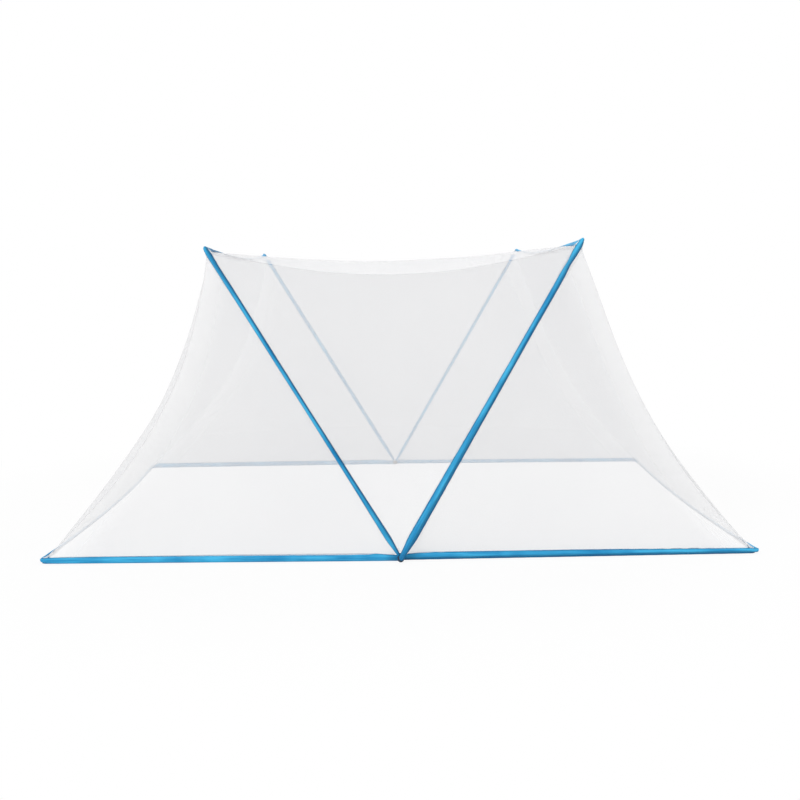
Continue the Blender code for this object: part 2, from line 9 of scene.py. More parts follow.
import bmesh
import bpy
from mathutils import Matrix, Vector, noise
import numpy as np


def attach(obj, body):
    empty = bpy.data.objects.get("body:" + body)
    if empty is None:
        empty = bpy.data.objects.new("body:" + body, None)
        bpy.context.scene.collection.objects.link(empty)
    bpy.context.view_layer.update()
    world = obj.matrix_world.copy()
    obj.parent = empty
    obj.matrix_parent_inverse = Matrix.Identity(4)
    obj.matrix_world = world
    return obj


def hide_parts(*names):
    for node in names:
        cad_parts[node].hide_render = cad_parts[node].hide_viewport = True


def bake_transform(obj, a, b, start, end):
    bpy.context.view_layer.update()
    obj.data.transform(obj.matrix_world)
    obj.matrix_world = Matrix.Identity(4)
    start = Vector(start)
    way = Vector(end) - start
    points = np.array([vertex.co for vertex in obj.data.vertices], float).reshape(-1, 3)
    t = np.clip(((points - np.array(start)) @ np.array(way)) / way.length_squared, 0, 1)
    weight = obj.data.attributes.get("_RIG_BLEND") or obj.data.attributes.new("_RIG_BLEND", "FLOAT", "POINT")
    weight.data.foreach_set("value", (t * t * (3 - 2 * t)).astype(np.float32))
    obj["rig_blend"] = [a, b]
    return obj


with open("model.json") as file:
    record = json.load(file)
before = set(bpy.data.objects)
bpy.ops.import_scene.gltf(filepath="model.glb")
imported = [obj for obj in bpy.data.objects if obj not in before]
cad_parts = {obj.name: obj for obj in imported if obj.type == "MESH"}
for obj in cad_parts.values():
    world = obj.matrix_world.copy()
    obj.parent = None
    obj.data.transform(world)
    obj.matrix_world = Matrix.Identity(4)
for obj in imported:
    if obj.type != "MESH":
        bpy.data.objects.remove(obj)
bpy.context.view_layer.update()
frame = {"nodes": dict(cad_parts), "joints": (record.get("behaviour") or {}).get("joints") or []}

# The view. The photograph is taken from in front, a little left of the middle and at the height of
# the two arches, looking slightly down on the floor frames.
CAMERA_PLACE = Vector((-0.0365, -3.761, 0.8021))
CAMERA_YAW = math.radians(0.747)
CAMERA_PITCH = math.radians(-6.73)
CAMERA_ROLL = math.radians(-0.593)
CAMERA_LENS_MM = 49.82
CAMERA_SENSOR_MM = 36.0

forward = Vector((math.sin(CAMERA_YAW) * math.cos(CAMERA_PITCH),
                  math.cos(CAMERA_YAW) * math.cos(CAMERA_PITCH), math.sin(CAMERA_PITCH)))
level_right = Vector((math.cos(CAMERA_YAW), -math.sin(CAMERA_YAW), 0.0))
right = Matrix.Rotation(CAMERA_ROLL, 3, -forward) @ level_right
camera = bpy.data.objects.new("camera", bpy.data.cameras.new("camera"))
camera.data.lens = CAMERA_LENS_MM
camera.data.sensor_width = CAMERA_SENSOR_MM
axes = Matrix((right, right.cross(forward), -forward)).transposed()
camera.matrix_world = Matrix.Translation(CAMERA_PLACE) @ axes.to_4x4()
bpy.context.scene.collection.objects.link(camera)
bpy.context.scene.camera = camera
bpy.context.scene.view_settings.view_transform = "Standard"


# The floor and the light. A plain white studio floor that keeps a faint shadow, a white surround,
# and large soft lamps, the strongest of them high on the left.
FLOOR_SIZE = 14.0
FLOOR_DROP = 0.0008  # under the tent, so that the tapes that lie on it aren't cut
FLOOR_COLOUR = (0.90, 0.90, 0.90, 1.0)
FLOOR_ROUGHNESS = 0.9
FLOOR_SHADOW_SHARE = 0.10  # how much of the floor's look is real light and shadow
SHADOW_NEAR = 1.15  # from the middle of the floor to where that share starts to fade
SHADOW_FAR = 1.9  # and to where none is left
SURROUND_COLOUR = (1.0, 1.0, 1.0, 1.0)
SURROUND_STRENGTH = 0.58
LAMPS = (  # name, place, size and power
    ("lamp_left", (-6.0, -7.2, 6.4), 3.3, 418.0),
    ("lamp_right", (4.6, -3.6, 2.6), 2.4, 58.0),
    ("lamp_top", (0.5, 1.5, 4.2), 3.0, 46.0),
)


def new_finish(name):
    """A node material, with its tree and its shader."""
    finish = bpy.data.materials.new(name)
    finish.use_nodes = True
    return finish, finish.node_tree, finish.node_tree.nodes["Principled BSDF"]


def feed(tree, socket, value):
    """Joins a socket to another one, or sets it to a number, a place or a colour."""
    if isinstance(value, bpy.types.NodeSocket):
        tree.links.new(value, socket)
    else:
        socket.default_value = value


def feed_all(tree, node, values):
    """Does so for several inputs of a node, by their names."""
    for label, value in values.items():
        feed(tree, node.inputs[label], value)


def add_math(tree, operation, *values):
    """A math node over sockets and numbers."""
    node = tree.nodes.new("ShaderNodeMath")
    node.operation = operation
    for socket, value in zip(node.inputs, values):
        feed(tree, socket, value)
    return node.outputs[0]


def add_vector_math(tree, operation, *values):
    """A vector math node over sockets and places. A length or a product comes out as a number."""
    node = tree.nodes.new("ShaderNodeVectorMath")
    node.operation = operation
    for socket, value in zip(node.inputs, values):
        feed(tree, socket, value)
    return node.outputs["Value" if operation in ("LENGTH", "DOT_PRODUCT") else "Vector"]


def add_range(tree, value, before, after=(0.0, 1.0), easing="LINEAR"):
    """A value taken from one range to another and held inside it."""
    node = tree.nodes.new("ShaderNodeMapRange")
    node.interpolation_type = easing
    feed_all(tree, node, {"Value": value, "From Min": before[0], "From Max": before[1],
                          "To Min": after[0], "To Max": after[1]})
    return node.outputs[0]


def object_place(tree):
    """Where a point of the surface lies."""
    return tree.nodes.new("ShaderNodeTexCoord").outputs["Object"]


def seen_as_white(tree):
    """1 for rays that show the surround to the camera, straight on, in a reflection or through glass."""
    path = tree.nodes.new("ShaderNodeLightPath").outputs
    straight_or_glossy = add_math(tree, "MAXIMUM", path["Is Camera Ray"], path["Is Glossy Ray"])
    return add_math(tree, "MAXIMUM", straight_or_glossy, path["Is Transmission Ray"])


def studio_floor_finish():
    """White to the camera, but for a share of the light and shadow on it near the tent."""
    finish, tree, shader = new_finish("studio_floor")
    feed_all(tree, shader, {"Base Color": FLOOR_COLOUR, "Roughness": FLOOR_ROUGHNESS,
                            "Specular IOR Level": 0.0})
    glow = tree.nodes.new("ShaderNodeEmission")
    glow.inputs["Strength"].default_value = 1.0
    reach = add_vector_math(tree, "LENGTH", object_place(tree))
    plain = add_range(tree, reach, (SHADOW_NEAR, SHADOW_FAR), (1.0 - FLOOR_SHADOW_SHARE, 1.0),
                      easing="SMOOTHSTEP")
    mix = tree.nodes.new("ShaderNodeMixShader")
    tree.links.new(add_math(tree, "MULTIPLY", seen_as_white(tree), plain), mix.inputs[0])
    tree.links.new(shader.outputs[0], mix.inputs[1])
    tree.links.new(glow.outputs[0], mix.inputs[2])
    tree.links.new(mix.outputs[0], tree.nodes["Material Output"].inputs["Surface"])
    return finish


def finished_mesh(bm, name):
    """The mesh of a bmesh that is ready."""
    mesh = bpy.data.meshes.new(name)
    bm.to_mesh(mesh)
    bm.free()
    return mesh


def new_piece(name, mesh, finish):
    """A mesh as a piece of the scene, in one finish."""
    mesh.materials.append(finish)
    piece = bpy.data.objects.new(name, mesh)
    bpy.context.scene.collection.objects.link(piece)
    return piece


def add_floor():
    """A flat floor, just under the tent."""
    bm = bmesh.new()
    bmesh.ops.create_grid(bm, x_segments=1, y_segments=1, size=FLOOR_SIZE / 2)
    bmesh.ops.translate(bm, verts=bm.verts, vec=(0.0, 0.0, -FLOOR_DROP))
    floor = new_piece("floor", finished_mesh(bm, "floor"), studio_floor_finish())


def light_the_studio():
    """The surround and the soft lamps."""
    world = bpy.data.worlds.new("studio")
    bpy.context.scene.world = world
    world.use_nodes = True
    tree = world.node_tree
    surround = tree.nodes["Background"]
    surround.inputs["Color"].default_value = SURROUND_COLOUR
    strength = add_range(tree, seen_as_white(tree), (0.0, 1.0), (SURROUND_STRENGTH, 1.0))
    tree.links.new(strength, surround.inputs["Strength"])
    for name, place, size, power in LAMPS:
        data = bpy.data.lights.new(name, "AREA")
        data.shape = "DISK"
        data.size = size
        data.energy = power
        lamp = bpy.data.objects.new(name, data)
        lamp.location = place
        lamp.rotation_euler = (-Vector(place)).to_track_quat("-Z", "Y").to_euler()
        bpy.context.scene.collection.objects.link(lamp)


add_floor()
light_the_studio()


# The spring wires. Each frame is one length of 3.2 mm spring steel wire, bent at two corners and
# pushed into a knuckle at each end. The tape hides it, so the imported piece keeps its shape.
FRAMES = {  # how far each frame is turned up from the floor on the right, and its place in the stack
    "right_base": (0.0, 1.5),
    "right_arch": (math.radians(60.1), -1.5),
    "left_arch": (math.radians(121.2), -0.5),
    "left_base": (math.pi, 0.5),
}
FRAME_PITCH = 0.009  # between neighbouring frames along the hinge line
HINGE_HEIGHT = frame["joints"][0]["pos_m"][2]
BEND_SETBACK = 0.020  # from a corner to where its bend starts, along both bars
LEG_FLARE = 0.020  # each leg leans this far outwards between its corner and its hub
CROSSBAR_BOW = 0.028  # the net draws the middle of a crossbar in by this much
REACH = 1.000  # from the hinge line to a frame's corner
HALF_WIDTH = 0.750  # half the distance between a frame's two corners
HUB_SIDE = HALF_WIDTH + LEG_FLARE
LEG_LENGTH = math.hypot(REACH, LEG_FLARE)
WIRE_COLOUR = (0.45, 0.46, 0.48, 1.0)
WIRE_ROUGHNESS = 0.30
WIRE_GRAIN_SCALE = 900.0
GRAIN_DETAIL = 4.0
GRAIN_DEPTH = 0.28  # how much darker than its colour the steel's specks are at most
GRAIN_ROUGHNESS = 0.18  # and how much rougher than its roughness


def new_group(name, given, made):
    """A node group with its inputs and its outputs."""
    group = bpy.data.node_groups.new(name, "ShaderNodeTree")
    for way, sockets in (("INPUT", given), ("OUTPUT", made)):
        for label, kind in sockets.items():
            group.interface.new_socket(label, in_out=way, socket_type=f"NodeSocket{kind}")
    return group, group.nodes.new("NodeGroupInput").outputs, group.nodes.new("NodeGroupOutput")


def place_group(tree, group, values):
    """A group's node in a material, fed by these values."""
    node = tree.nodes.new("ShaderNodeGroup")
    node.node_tree = group
    feed_all(tree, node, values)
    return node.outputs


def add_noise(tree, place, scale, detail=2.0):
    """A noise texture over a place."""
    node = tree.nodes.new("ShaderNodeTexNoise")
    feed_all(tree, node, {"Vector": place, "Scale": scale, "Detail": detail})
    return node.outputs


def steel_grain_group():
    """The fine grain of drawn or pressed steel, in its colour and in its roughness."""
    tree, given, made = new_group(
        "steel_grain", {"Place": "Vector", "Scale": "Float", "Colour": "Color", "Roughness": "Float"},
        {"Colour": "Color", "Roughness": "Float"})
    speck = add_noise(tree, given["Place"], given["Scale"], GRAIN_DETAIL)["Fac"]
    shade = add_math(tree, "MULTIPLY_ADD", speck, GRAIN_DEPTH, 1.0 - GRAIN_DEPTH)
    feed_all(tree, made, {
        "Colour": add_vector_math(tree, "MULTIPLY", given["Colour"], shade),
        "Roughness": add_math(tree, "MULTIPLY_ADD", speck, GRAIN_ROUGHNESS, given["Roughness"])})
    return tree


steel_grain = steel_grain_group()


def steel_finish(name, colour, roughness, scale):
    """Bare steel with the grain of its making."""
    finish, tree, shader = new_finish(name)
    grain = place_group(tree, steel_grain, {"Place": object_place(tree), "Scale": scale,
                                            "Colour": colour, "Roughness": roughness})
    feed_all(tree, shader, {"Base Color": grain["Colour"], "Roughness": grain["Roughness"],
                            "Metallic": 1.0})
    return finish


def dress(piece, finish):
    """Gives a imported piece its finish."""
    materials = frame["nodes"][piece].data.materials
    materials.clear()
    materials.append(finish)


wire_steel = steel_finish("wire_steel", WIRE_COLOUR, WIRE_ROUGHNESS, WIRE_GRAIN_SCALE)
for name in FRAMES:
    dress(f"{name}_wire", wire_steel)


# The tapes. Each wire is sheathed in woven polyester tape, satin blue, folded round it and sewn shut
# with two rows of stitches, with the edges of the nets caught between its two plies.
TAPE_HALF_WIDTH = 0.0100  # as woven
TAPE_HALF_WIDTHS = {  # as the nets draw it: in steps up the front leg, on the crossbar, on the rear leg
    "right_base": ((0.0115, 0.0108, 0.0100, 0.0072, 0.0050), 0.0085, 0.0044),
    "right_arch": ((0.0125, 0.0112, 0.0090, 0.0078, 0.0082), 0.0085, 0.0056),
    "left_arch": ((0.0088, 0.0062, 0.0055, 0.0060, 0.0072), 0.0080, 0.0068),
    "left_base": ((0.0112, 0.0112, 0.0112, 0.0088, 0.0066), 0.0085, 0.0085),
}
LAST_STEP = 0.999  # of the leg, just short of its end
WIDTH_SWAY = 0.05  # how far the width wanders, as a share of it, and how fast along the tape
WIDTH_SWAY_RATE = 9.0
FLOOR_SIDES = {"right_base": -1, "left_base": 1}  # the edge of a tape that stands on the floor
NETTED = {  # whether a net is sewn into a tape's side -1, and into its side 1
    name: (name != "right_base", name != "left_base") for name in FRAMES
}
SEEDS = {name: 10.0 * number for number, name in enumerate(FRAMES)}  # so that no two tapes wave alike
SHEATH_START = 0.0093  # from the hinge line to where a tape starts
SOCKET_END = 0.030  # from the hinge line to the end of a knuckle's socket
GATHER_LENGTH = 0.045  # past the socket, over which the tape comes to its full width
HUB_NARROWING = 0.0046  # where a leg's tape is gathered on its knuckle, unless it is this narrow already
HUB_HALF_WIDTH = 0.0042
TAPE_TIP = 0.0010  # from the hinge line to the tips of a tape's end, which is cut round its knuckle
SAME_PLACE = 1e-6  # two lengths that differ by less are one
LEG_BULGE = 0.0043  # half the thickness over the wire, on a leg and on a crossbar
BAR_BULGE = 0.0032
BULGE_REACH = 0.0056  # from the wire to where the bulge over it has mostly gone
EDGE_HALF_THICKNESS = 0.0010
CORNER_PINCH = 0.28  # a tape is this much narrower at a corner, where it turns over
PINCH_REACH = 0.014
POCKET_SHARE = 0.40  # depth of the pocket that takes a net, of the half width
POCKET_GAP = 0.0004  # half of the way open between the plies
BORE_RADIUS = 0.0021  # round the wire, and round a knuckle's socket
HUB_BORE_RADIUS = 0.0035
BAR_START = -0.006  # from a corner to where the tape takes the crossbar's shape, and how gradually
FADE_LENGTH = 0.030
LIP_ROOT = 0.0025  # from the wire to where the net folds the edges of a crossbar's tape in
LIP_FOLD = math.radians(36)
LIP_FOLD_START = -0.012  # from a corner, along the crossbar
LIP_FOLD_RUN = 0.026
CORNER_LIP_FOLD = math.radians(82)  # beside a corner, where the net pulls most
CORNER_FOLD_REACH = 0.20
CORNER_LIPS = {  # half width on the crossbar beside its front and rear corner, and how far that lasts
    "right_base": ((0.0095, 0.06), (0.0090, 0.06)),
    "right_arch": ((0.0230, 0.20), (0.0085, 0.10)),
    "left_arch": ((0.0150, 0.17), (0.0150, 0.10)),
    "left_base": ((0.0085, 0.06), (0.0085, 0.06)),
}
CORNER_FILLS = {  # how far the folded cloth stands out over the bend of its front and rear corner
    "right_base": (0.0130, 0.0060),
    "right_arch": (0.0085, 0.0),
    "left_arch": (0.0060, 0.0085),
    "left_base": (0.0055, 0.0055),
}
CORNER_FILL_REACH = 0.013
CORNER_TWISTS = {  # how far the net twists each arch's tape near its front and its rear corner
    "right_base": (0.0, 0.0),
    "right_arch": (math.radians(-52), math.radians(-30)),
    "left_arch": (math.radians(-26), math.radians(-24)),
    "left_base": (0.0, 0.0),
}
TWIST_PLACE = 0.075  # from the corner to where a leg's tape is twisted most
TWIST_REACH = 0.040
LEG_LEANS = {"left_base": math.radians(12)}  # the net draws the top of this tape in, so that it faces up
BAR_LEANS = {"left_base": math.radians(36), "right_base": math.radians(-36)}  # and of these crossbars
BAR_LEAN_START = 0.08  # from a corner, and how gradually
LEAN_RUN = 0.12
RIPPLE_HEIGHT = 0.00035  # of the ripple of a tape's edges
RIPPLE_LENGTH = 0.047
RIPPLE_SHIFT = 1.7  # from one edge's ripple to the other's, in radians
STATION_STEP = 0.008  # between the outlines that a tape is drawn through
BEND_STEPS = 10
SKIN_SHARES = (-1.0, -0.93, -0.80, -0.66, -0.52, -0.40, -0.29, -0.19, -0.09,
               0.0, 0.09, 0.19, 0.29, 0.40, 0.52, 0.66, 0.80, 0.93, 1.0)
BORE_SIDES = 8
TAPE_SHARP_ANGLE = math.radians(50)
SHEATHS = ("front", "front_corner", "bar", "rear_corner", "rear")

# The colours of the tape. Places along it are from the front hub, and places across it from the wire.
DEEP_BLUE = (0.008, 0.235, 0.520, 1.0)
LIGHT_BLUE = (0.062, 0.500, 0.820, 1.0)
BLUE_SPREAD = (0.38, 0.62)  # of the streaks' values, from the deep to the light blue
STREAK_SCALE = (7.0, 140.0, 1.0)  # streaks run along the tape
STREAK_DETAIL = 3.0
STREAK_SHARE = 0.55  # and the rest of a blue's shade is a cloud over the whole tape
CLOUD_SCALE = 9.0
SHADED_SIDE_BLUE = (0.001, 0.075, 0.190, 1.0)  # painted shade: the tape's side -1 is painted deeper, as the side turned away from the light
SHADED_SIDE_SPAN = (0.0005, -0.0065)
SHADED_SIDE_SHARE = 0.90
SHADED_SIDE_END = (1.9, 1.6)  # the painted shade on side -1 lasts as far as the crossbar and fades out there
EDGE_SHADE_BLUE = (0.002, 0.090, 0.220, 1.0)  # painted shade: both edges are painted darker, as where the rounded tape turns away from the light
EDGE_SHADE_BAND = (0.0062, 0.0092)
EDGE_SHADE_SHARE = 0.50
HUB_SHADE_BLUE = (0.001, 0.110, 0.300, 1.0)  # painted shade: the end gathered on the front hub is painted darker, for the shadow that falls there between the frames
HUB_SHADE_END = (0.045, 0.005)
HUB_SHADE_SHARE = 0.60
THREAD_BLUE = (0.060, 0.400, 0.680, 1.0)
STITCH_ROW = 0.0066
STITCH_PITCH = 0.0035  # along a row, of which a stitch covers a share
STITCH_SHARE = 0.74
STITCH_HALF_WIDTH = 0.00032
STITCH_RISE = 1.8
GROOVE_HALF_WIDTH = 0.0006  # of the groove that a row of stitches draws into the tape
GROOVE_DEPTH = 1.2
RIB_PITCH = 0.0012
RIB_SLANT = 0.6
TWILL_PITCH = 0.0008
WEAVE_RISE = 0.25
TAPE_BUMP = (0.5, 0.0002)  # strength and distance
TAPE_ROUGHNESS = (0.42, 0.58)
TAPE_SPECULAR = 0.20


def smoothstep(share):
    """Ease from 0 to 1."""
    share = min(max(share, 0.0), 1.0)
    return share * share * (3.0 - 2.0 * share)


def crossbar_point(y):
    """The place on the bowed crossbar at this distance from its middle."""
    return Vector((REACH - CROSSBAR_BOW * (1.0 - (y / HALF_WIDTH) ** 2), y))


def frame_line():
    """Points along a frame's wire, from the front hub round both corners to the rear hub."""
    hub = Vector((0.0, -HUB_SIDE))
    corner = Vector((REACH, -HALF_WIDTH))
    leg = (corner - hub).normalized()
    bend_start = corner - leg * BEND_SETBACK
    bend_end = crossbar_point(BEND_SETBACK - HALF_WIDTH)
    start = hub + leg * SHEATH_START
    leg_steps = round((bend_start - start).length / STATION_STEP)
    half = [start.lerp(bend_start, k / leg_steps) for k in range(leg_steps)]
    for k in range(BEND_STEPS + 1):
        share = k / BEND_STEPS
        half.append(bend_start.lerp(corner, share).lerp(corner.lerp(bend_end, share), share))
    bar_steps = round(-bend_end.y / STATION_STEP)
    half += [crossbar_point(bend_end.y * (1.0 - k / bar_steps)) for k in range(1, bar_steps)]
    return half + [crossbar_point(0.0)] + [Vector((p.x, -p.y)) for p in reversed(half)]


class Station:
    """One place along a frame's wire: where it is, which way is outwards, how far along it lies."""

    def __init__(self, point, outward, along, to_corner, rear):
        self.point = point
        self.outward = outward
        self.along = along  # from the front hub
        self.to_corner = to_corner  # along the wire, negative on a leg and positive on the crossbar
        self.rear = rear
        self.on_bar = smoothstep((to_corner - BAR_START) / FADE_LENGTH) if to_corner > 0.0 else 0.0


def frame_stations():
    """The stations of a frame, with the distance that each has run."""
    points = frame_line()
    corner = Vector((REACH, -HALF_WIDTH))
    stations = []
    along = SHEATH_START
    for k, point in enumerate(points):
        before, after = points[max(k - 1, 0)], points[min(k + 1, len(points) - 1)]
        if k:
            along += (point - points[k - 1]).length
        run = (after - before).normalized()
        front_like = Vector((point.x, -abs(point.y)))
        to_corner = (front_like - corner).length
        if abs(front_like.y + HALF_WIDTH) < abs(front_like.x - REACH) or front_like.y < -HALF_WIDTH:
            to_corner = -to_corner
        stations.append(Station(point, Vector((run.y, -run.x)), along, to_corner, point.y > 0.0))
    return stations


STATIONS = frame_stations()
STATIONS_LENGTH = STATIONS[-1].along + SHEATH_START


def distance_to_hub(station):
    """From the nearer hub, along the wire."""
    return min(station.along, STATIONS_LENGTH - station.along)


def tape_half_width(name, station, side):
    """From the wire to one edge of a frame's tape at a station."""
    if FLOOR_SIDES.get(name) == side:
        return TAPE_HALF_WIDTH
    pinch = CORNER_PINCH * math.exp(-(station.to_corner / PINCH_REACH) ** 2)
    steps, bar, leg = TAPE_HALF_WIDTHS[name]
    lip, lip_reach = CORNER_LIPS[name][station.rear]
    bar += (lip - bar) * math.exp(-(station.to_corner / lip_reach) ** 2)
    distance = distance_to_hub(station)
    if not station.rear:
        place = min(distance / LEG_LENGTH, LAST_STEP) * (len(steps) - 1)
        leg = steps[int(place)] + (steps[int(place) + 1] - steps[int(place)]) * (place % 1.0)
    gather = 1.0 - smoothstep((distance - SHEATH_START) / (SOCKET_END + GATHER_LENGTH - SHEATH_START))
    leg -= min(HUB_NARROWING, leg - HUB_HALF_WIDTH) * gather
    sway = noise.noise(Vector((station.along * WIDTH_SWAY_RATE, SEEDS[name], side)))
    return (leg + (bar - leg) * station.on_bar) * (1.0 + WIDTH_SWAY * sway) * (1.0 - pinch)


def tape_twist(name, station):
    """How far the tape is turned about the wire at a station."""
    if station.to_corner > 0.0:
        return BAR_LEANS.get(name, 0.0) * smoothstep((station.to_corner - BAR_LEAN_START) / LEAN_RUN)
    lean = LEG_LEANS.get(name, 0.0) * smoothstep(-station.to_corner / LEAN_RUN)
    lean *= smoothstep((distance_to_hub(station) - SOCKET_END) / LEAN_RUN)
    twist = CORNER_TWISTS[name][station.rear]
    return lean + twist * math.exp(-((-station.to_corner - TWIST_PLACE) / TWIST_REACH) ** 2)


def frame_matrix(name):
    """Where a frame's plane lies."""
    turn, place = FRAMES[name]
    return Matrix.Translation((0.0, place * FRAME_PITCH, HINGE_HEIGHT)) @ Matrix.Rotation(-turn, 4, "Y")


MATRICES = {name: frame_matrix(name) for name in FRAMES}


def lip_fold(station):
    """How far the net folds the edges of the tape in at a station of the crossbar."""
    near_corner = math.exp(-(station.to_corner / CORNER_FOLD_REACH) ** 2)
    fold = LIP_FOLD + (CORNER_LIP_FOLD - LIP_FOLD) * near_corner
    return fold * smoothstep((station.to_corner - LIP_FOLD_START) / LIP_FOLD_RUN)


def on_tape(name, station, across, outward):
    """A point on or in the tape: folded in at the crossbar's lips, twisted, and rippled at its edges."""
    fold = lip_fold(station) * NETTED[name][across > 0.0]
    beyond = abs(across) - LIP_ROOT
    if beyond > 0.0:
        ease = (across / TAPE_HALF_WIDTH) ** 2
        shift = SEEDS[name] + (RIPPLE_SHIFT if across > 0.0 else 0.0)
        outward += RIPPLE_HEIGHT * ease * math.sin(math.tau * station.along / RIPPLE_LENGTH + shift)
        turned = LIP_ROOT + beyond * math.cos(fold) + outward * math.sin(fold)
        outward = outward * math.cos(fold) - beyond * math.sin(fold)
        across = math.copysign(turned, across)
    if outward > BORE_RADIUS:
        fill = CORNER_FILLS[name][station.rear]
        outward += fill * math.exp(-(station.to_corner / CORNER_FILL_REACH) ** 2)
    back = 0.0
    if distance_to_hub(station) < SHEATH_START + SAME_PLACE:
        back = SHEATH_START - math.sqrt(max(SHEATH_START ** 2 - across ** 2, TAPE_TIP ** 2))
    twist = tape_twist(name, station)
    across, outward = (across * math.cos(twist) - outward * math.sin(twist),
                       across * math.sin(twist) + outward * math.cos(twist))
    to_hub = Vector((0.0, math.copysign(HUB_SIDE, station.point.y))) - station.point
    point = station.point + station.outward * outward + to_hub.normalized() * back
    return MATRICES[name] @ Vector((point.x, point.y, across))


def skin_height(bulge, across):
    """From the middle of a tape to its skin, this far from the wire that it bulges over."""
    return EDGE_HALF_THICKNESS + (bulge - EDGE_HALF_THICKNESS) * math.exp(-(across / BULGE_REACH) ** 2)


def tape_half_thickness(station, across):
    """From the middle of the tape to its skin at a station."""
    return skin_height(LEG_BULGE + (BAR_BULGE - LEG_BULGE) * station.on_bar, across)


def tape_ring(name, station):
    """The tape's outline at a station, then its bore, as places with a reading across the tape."""
    widths = (tape_half_width(name, station, -1), tape_half_width(name, station, 1))
    skin = []
    for share in SKIN_SHARES:
        across = share * widths[share > 0.0]
        skin.append((share, across, tape_half_thickness(station, across)))
    inner = 1.0 - POCKET_SHARE
    pocket = ((1.0, POCKET_GAP), (inner, POCKET_GAP), (inner, -POCKET_GAP), (1.0, -POCKET_GAP))
    outline = list(skin)
    if NETTED[name][1]:
        outline += [(share, share * widths[1], gap) for share, gap in pocket]
    outline += [(share, across, -outward) for share, across, outward in reversed(skin)]
    if NETTED[name][0]:
        outline += [(-share, -share * widths[0], -gap) for share, gap in pocket]
    past_socket = smoothstep((distance_to_hub(station) - SOCKET_END) / STATION_STEP)
    radius = HUB_BORE_RADIUS + (BORE_RADIUS - HUB_BORE_RADIUS) * past_socket
    turns = [math.tau * k / BORE_SIDES for k in range(BORE_SIDES)]
    bore = [(0.0, radius * math.cos(turn), radius * math.sin(turn)) for turn in turns]
    places = [on_tape(name, station, across, outward) for _, across, outward in outline + bore]
    readings = [share * TAPE_HALF_WIDTH for share, _, _ in outline + bore]
    if name == "left_base":  # this tape gets no painted shade on its side -1, so both its sides are light
        readings = [abs(reading) for reading in readings]
    return places, readings, len(outline)


def tape_mesh(name):
    """A frame's whole tape, its outline and bore extruded from station to station."""
    bm = bmesh.new()
    order = bm.verts.layers.int.new("order")
    across = bm.verts.layers.float.new("across")
    along = bm.verts.layers.float.new("along")
    places, readings, split = tape_ring(name, STATIONS[0])
    verts = [bm.verts.new(place) for place in places]
    for k, vert in enumerate(verts):
        vert[order], vert[across], vert[along] = k, readings[k], STATIONS[0].along
    loops = (verts[:split], verts[split:])
    rim = [bm.edges.new((loop[k - 1], loop[k])) for loop in loops for k in range(len(loop))]
    bmesh.ops.triangle_fill(bm, edges=rim, use_beauty=True)
    for station in STATIONS[1:]:
        places, readings, _ = tape_ring(name, station)
        grown = bmesh.ops.extrude_edge_only(bm, edges=rim)["geom"]
        for vert in grown:
            if isinstance(vert, bmesh.types.BMVert):
                k = vert[order]
                vert.co, vert[across], vert[along] = places[k], readings[k], station.along
        rim = [edge for edge in grown if isinstance(edge, bmesh.types.BMEdge)
               and all(vert[along] == edge.verts[0][along] for vert in edge.verts)]
    bmesh.ops.triangle_fill(bm, edges=rim, use_beauty=True)
    bmesh.ops.recalc_face_normals(bm, faces=bm.faces)
    tape_map = bm.loops.layers.uv.new("tape")
    for face in bm.faces:
        for loop in face.loops:
            loop[tape_map].uv = (loop.vert[along], loop.vert[across])
    mesh = finished_mesh(bm, f"{name}_tape")
    mesh.shade_smooth()
    mesh.set_sharp_from_angle(angle=TAPE_SHARP_ANGLE)
    return mesh


def read_map(tree, name):
    """A node that reads a piece's map."""
    node = tree.nodes.new("ShaderNodeUVMap")
    node.uv_map = name
    return node.outputs[0]


def add_mix(tree, share, first, second):
    """A colour between two others."""
    node = tree.nodes.new("ShaderNodeMixRGB")
    for socket, value in zip(node.inputs, (share, first, second)):
        feed(tree, socket, value)
    return node.outputs[0]


def add_bump(tree, height, strength, distance):
    """The normal of a fine relief."""
    node = tree.nodes.new("ShaderNodeBump")
    feed_all(tree, node, {"Height": height, "Strength": strength, "Distance": distance})
    return node.outputs[0]


